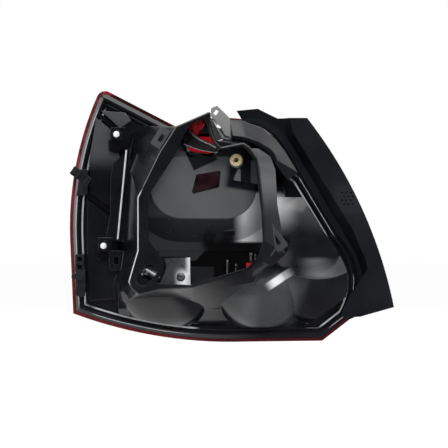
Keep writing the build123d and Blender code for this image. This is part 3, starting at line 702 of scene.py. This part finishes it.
settle(frontLip, "shadeFrontLip", finish["bright"], bulbShade["angle"])
rearLip = bead(rearEdge, bulbShade["rearLip"])
settle(rearLip, "shadeRearLip", finish["bright"], bulbShade["angle"])

# bar and red leaf in the hole
leafBar = {"corners": ((-37.1, 26.8), (-25.8, 27.0), (-24.8, 35.0), (-27.0, 35.0)),
           "at": 9.0, "thick": 2.0, "rounding": 0.4}
settle(plate(leafBar), "leafBar", finish["clip_plastic"])
redLeaf = {"corners": ((-47.2, 30.7), (-46.2, 27.6), (-43.2, 24.6), (-39.2, 24.6), (-37.2, 28.6),
                       (-32.1, 33.7), (-30.1, 38.7), (-32.1, 41.2), (-37.2, 40.2), (-43.2, 35.7)),
           "at": 11.0, "thick": 2.0, "rounding": 0.5}
settle(plate(redLeaf), "redLeaf", finish["reflex"])

# dark ledge at the foot of the hole, with a short plated trim
holeLedge = {"corners": ((-49.0, 11.8), (-40.2, 6.6), (-30.0, 6.9), (-19.0, 9.2), (-19.0, 0.0),
                         (-49.0, 0.0)),
             "at": 18.8, "thick": 2.0, "rounding": 0.4,
             "trim": ((-44.0, 17.6, 9.2), (-41.6, 17.6, 7.9), (-39.6, 17.6, 7.3),
                      (-36.6, 17.6, 7.2), (-33.4, 17.6, 7.3), (-30.0, 17.6, 7.6)),
             "trimRadius": 0.8, "trimAngle": 60}
settle(plate(holeLedge), "holeLedge", finish["bezel_plastic"])
trim = bead(holeLedge["trim"], holeLedge["trimRadius"])
settle(trim, "ledgeTrim", finish["bright"], holeLedge["trimAngle"])

# dark red plate behind the window of the main reflector, its dark tint standing in for the shade in
# the window
windowShadePlate = {"corners": ((-48, -35), (-13, -35), (-13, -8), (-48, -8)),
             "at": 18.8, "thick": 2.0, "rounding": 0.3}
settle(plate(windowShadePlate), "windowShadePlate", finish["windowShade"])

# lower tab of the main reflector's flange, down to the shelf
flangeTab = {"corners": ((-79.0, -90.0), (-79.0, -102.1), (-40.8, -102.1), (-37.8, -98.0),
                         (-33.6, -93.9), (-30.5, -90.0)),
             "at": 48.35, "thick": 2.1, "rounding": 0.3}
settle(plate(flangeTab), "flangeTab", finish["reflector_plastic"])

# dark strips standing in for the shadow in the joints of the wing
wingShadowStrips = {"places": (((-140.2, 50.4), (-142.8, 47.4), (-122.6, 30.2), (-119.8, 33.2)),
                         ((-150.0, -32.6), (-152.4, -36.4), (-129.2, -53.2), (-126.4, -49.4))),
              "at": 36.9, "thick": 1.6, "rounding": 0.5}
# dark pads standing in for the shade round the sockets of the pegs
pegShadowPads = {"places": (((-129.5, 21.5), (-129.0, 10.0), (-121.0, 7.5), (-113.5, 12.5),
                          (-113.5, 20.5)),
                         ((-142.0, -92.5), (-141.0, -99.0), (-134.0, -102.0), (-126.5, -98.0),
                          (-126.5, -93.0))),
              "at": 29.8, "thick": 0.5, "rounding": 0.15}
for name, plan in (("wingShadowStrip", wingShadowStrips), ("pegShadowPad", pegShadowPads)):
    for number, corners in enumerate(plan["places"]):
        pad = plate({**plan, "corners": corners})
        settle(pad, name + str(number), finish["shadowPad"])
print("wing pieces: strips and sockets")

# plated cover on the shelf, open round the screw
shelfPlate = {"corners": ((-71.8, -98.4), (-69.6, -103.0), (-69.8, -108.5), (-72.3, -115.8),
                          (-75.8, -122.0), (-75.8, -126.8), (-45.4, -126.8), (-45.9, -97.4)),
              "at": -5.3, "thick": 0.4, "rounding": 0.1,
              "screwAt": (-55.0, -5.3, -117.0), "room": 4.3, "drillLong": 6.0, "sides": 48}
cover = plate(shelfPlate)
clearSelection()
bpy.ops.mesh.primitive_cylinder_add(vertices=shelfPlate["sides"], radius=shelfPlate["room"] * mm,
                                    depth=shelfPlate["drillLong"] * mm,
                                    rotation=(math.pi / 2, 0, 0),
                                    location=[v * mm for v in shelfPlate["screwAt"]])
drill = bpy.context.object
workOn(cover)
cut = cover.modifiers.new("cut", "BOOLEAN")
cut.operation = "DIFFERENCE"
cut.object = drill
cut.solver = "EXACT"
bpy.ops.object.modifier_apply(modifier="cut")
bpy.data.objects.remove(drill)
settle(cover, "shelfPlate", finish["cover"])

# plated neck behind the oval hole
socketNeck = {"at": (-84.9, -8.0, -114.6), "axis": (0.86, 0.34, -0.38), "radius": 5.0,
              "long": 16.0, "wall": 0.7, "rounding": 0.2, "sides": 48}
neckTurn = Vector(socketNeck["axis"]).to_track_quat("Z", "Y").to_euler()
clearSelection()
bpy.ops.mesh.primitive_cylinder_add(vertices=socketNeck["sides"], radius=socketNeck["radius"] * mm,
                                    depth=socketNeck["long"] * mm, end_fill_type="NOTHING",
                                    rotation=neckTurn,
                                    location=[v * mm for v in socketNeck["at"]])
neck = bpy.context.object
bpy.ops.object.transform_apply(location=True, rotation=True, scale=True)
thicken(neck, socketNeck["wall"], socketNeck["rounding"])
settle(neck, "socketNeck", finish["bright"])

# spring blades and a small red window low in the pocket
springBlades = {"broad": ((14.2, 30.0, -102.7), (16.8, 49.4, -93.5)),
                "narrow": ((19.2, 31.0, -101.7), (20.8, 49.4, -94.6)),
                "tall": ((-9.6, 28.0, -118.0), (-7.8, 49.4, -100.7)),
                "short": ((-0.6, 30.0, -115.0), (0.8, 49.4, -105.0))}
bladeRounding = 0.3
for bladeName, (low, high) in springBlades.items():
    blade = bar(low, high, bladeRounding)
    settle(blade, bladeName + "Blade", finish["bright"])
redChip = {"low": (10.4, 32.0, -109.8), "high": (17.5, 49.4, -103.4), "rounding": 0.8}
chip = bar(redChip["low"], redChip["high"], redChip["rounding"])
settle(chip, "redChip", finish["reflex"])
print("pocket pieces: shade, leaf, ledge, lens, tab, cover, neck, blades")

# floor: lit paper, lifted towards white where the camera or a reflection sees it
# reflections of it fade to the dim glow in front and on the right
floorPlan = {
    "size": 14.0, "drop": 0.09, "tones": ((0.90, 0.90, 0.90, 1), (0.94, 0.94, 0.94, 1)),
    "cloudScale": 3.0, "rough": 0.9, "specular": 0.1, "lift": 0.86, "glow": 1.06,
    "shine": {"X": (0.03, -0.03), "Y": (-0.40, -0.12)}, "faint": 0.05, "dim": 0.10,
}
clearSelection()
bpy.ops.mesh.primitive_plane_add(size=floorPlan["size"],
                                 location=(0, 0, cadLow.z - floorPlan["drop"]))
floor = bpy.context.object
floor.name = "paleFloor"
floorPaint, floorTree, floorShader = startMaterial("palePaper")
paper = clouded(floorTree, floorPlan, detail=3.0)
floorTree.links.new(paper, floorShader.inputs["Base Color"])
floorShader.inputs["Roughness"].default_value = floorPlan["rough"]
floorShader.inputs["Specular IOR Level"].default_value = floorPlan["specular"]
floorRays = floorTree.nodes.new("ShaderNodeLightPath").outputs
floorSpot = axes(floorTree, place(floorTree))
floorShine = floorRays["Is Glossy Ray"]
for axis, (first, second) in floorPlan["shine"].items():
    ramp = spread(floorTree, floorSpot[axis], floorPlan["faint"], 1.0, first, second)
    floorShine = combine(floorTree, "MULTIPLY", floorShine, ramp)
floorBright = combine(floorTree, "MAXIMUM", floorShine, floorRays["Is Transmission Ray"])
floorSeen = combine(floorTree, "MAXIMUM", floorRays["Is Camera Ray"], floorBright)
floorLift = combine(floorTree, "MULTIPLY", floorSeen, floorPlan["lift"])
floorQuiet = combine(floorTree, "SUBTRACT", floorRays["Is Glossy Ray"], floorShine)
lifted = blendShader(floorTree, floorLift, floorShader.outputs["BSDF"],
                     glow(floorTree, floorPlan["glow"]))
quieted = blendShader(floorTree, floorQuiet, lifted, glow(floorTree, floorPlan["dim"]))
floorTree.links.new(quieted, findNode(floorTree, "OUTPUT_MATERIAL").inputs["Surface"])
floor.data.materials.append(floorPaint)
floor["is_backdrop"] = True
print("floor:", floorPlan["size"], "m")

# soft boxes; those without gloss light the pieces but don't show in them
boxes = {
    "softTop": {"at": (-0.15, -0.35, 1.35), "to": (-0.02, 0.0, -0.06), "size": (1.5, 1.0),
                "power": 11.0, "gloss": True},
    "softRight": {"at": (1.25, -1.25, 0.55), "to": (0.0, 0.0, -0.06), "size": (0.5, 0.9),
                  "power": 9.0, "gloss": False},
    "softLeft": {"at": (-1.5, -0.55, 0.3), "to": (-0.1, 0.0, -0.06), "size": (0.8, 1.2),
                 "power": 11.0, "gloss": True},
    "softFront": {"at": (0.20, -1.30, 0.50), "to": (-0.02, 0.0, -0.06), "size": (0.35, 0.35),
                  "power": 12.0, "gloss": False},
    "softLens": {"at": (0.55, 1.55, 0.95), "to": (-0.02, 0.05, -0.06), "size": (0.9, 0.9),
                 "power": 14.0, "gloss": True},
}
for name, box in boxes.items():
    clearSelection()
    bpy.ops.object.light_add(type="AREA", location=box["at"])
    lamp = bpy.context.object
    lamp.name = name
    lamp.data.shape = "RECTANGLE"
    lamp.data.size, lamp.data.size_y = box["size"]
    lamp.data.energy = box["power"]
    lamp.visible_glossy = box["gloss"]
    aim = Vector(box["to"]) - Vector(box["at"])
    lamp.rotation_euler = aim.to_track_quat("-Z", "Y").to_euler()
print("lamps:", len(boxes))

# white room, brighter above and below than on either side and round the camera
roomLook = {"fill": 0.5, "quiet": 0.02, "bright": 1.1, "from": 0.15, "to": 0.75, "seen": 1.0,
            "towards": ((0.35, 0.10, 1.0), (-0.75, 0.10, -1.0))}
world = bpy.data.worlds.new("whiteRoom")
bpy.context.scene.world = world
world.use_nodes = True
sky = world.node_tree
ground = findNode(sky, "BACKGROUND")
ground.inputs["Color"].default_value = (1, 1, 1, 1)
direction = sky.nodes.new("ShaderNodeTexCoord")
bands = None
for aim in roomLook["towards"]:
    dot = sky.nodes.new("ShaderNodeVectorMath")
    dot.operation = "DOT_PRODUCT"
    sky.links.new(direction.outputs["Generated"], dot.inputs[0])
    dot.inputs[1].default_value = aim
    band = spread(sky, dot.outputs["Value"], roomLook["quiet"], roomLook["bright"],
                  roomLook["from"], roomLook["to"])
    bands = combine(sky, "MAXIMUM", bands, band) if bands else band
rays = sky.nodes.new("ShaderNodeLightPath").outputs
seen = combine(sky, "MAXIMUM", rays["Is Camera Ray"], rays["Is Transmission Ray"])
room = blendValue(sky, rays["Is Glossy Ray"], roomLook["fill"], bands)
sky.links.new(blendValue(sky, seen, room, roomLook["seen"]), ground.inputs["Strength"])

# camera square on to the back, 1 mm to a pixel
view = {"at": (-0.012, -1.6, -0.064), "span": 0.448, "sensor": 36.0, "far": 50.0}
clearSelection()
bpy.ops.object.camera_add(location=view["at"], rotation=(math.pi / 2, 0, 0))
camera = bpy.context.object
camera.data.sensor_width = view["sensor"]
camera.data.lens = view["sensor"] * -view["at"][1] / view["span"]
camera.data.clip_end = view["far"]
bpy.context.scene.camera = camera
bpy.context.scene.view_settings.view_transform = "Standard"
print("camera lens", round(camera.data.lens, 2))

low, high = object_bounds()
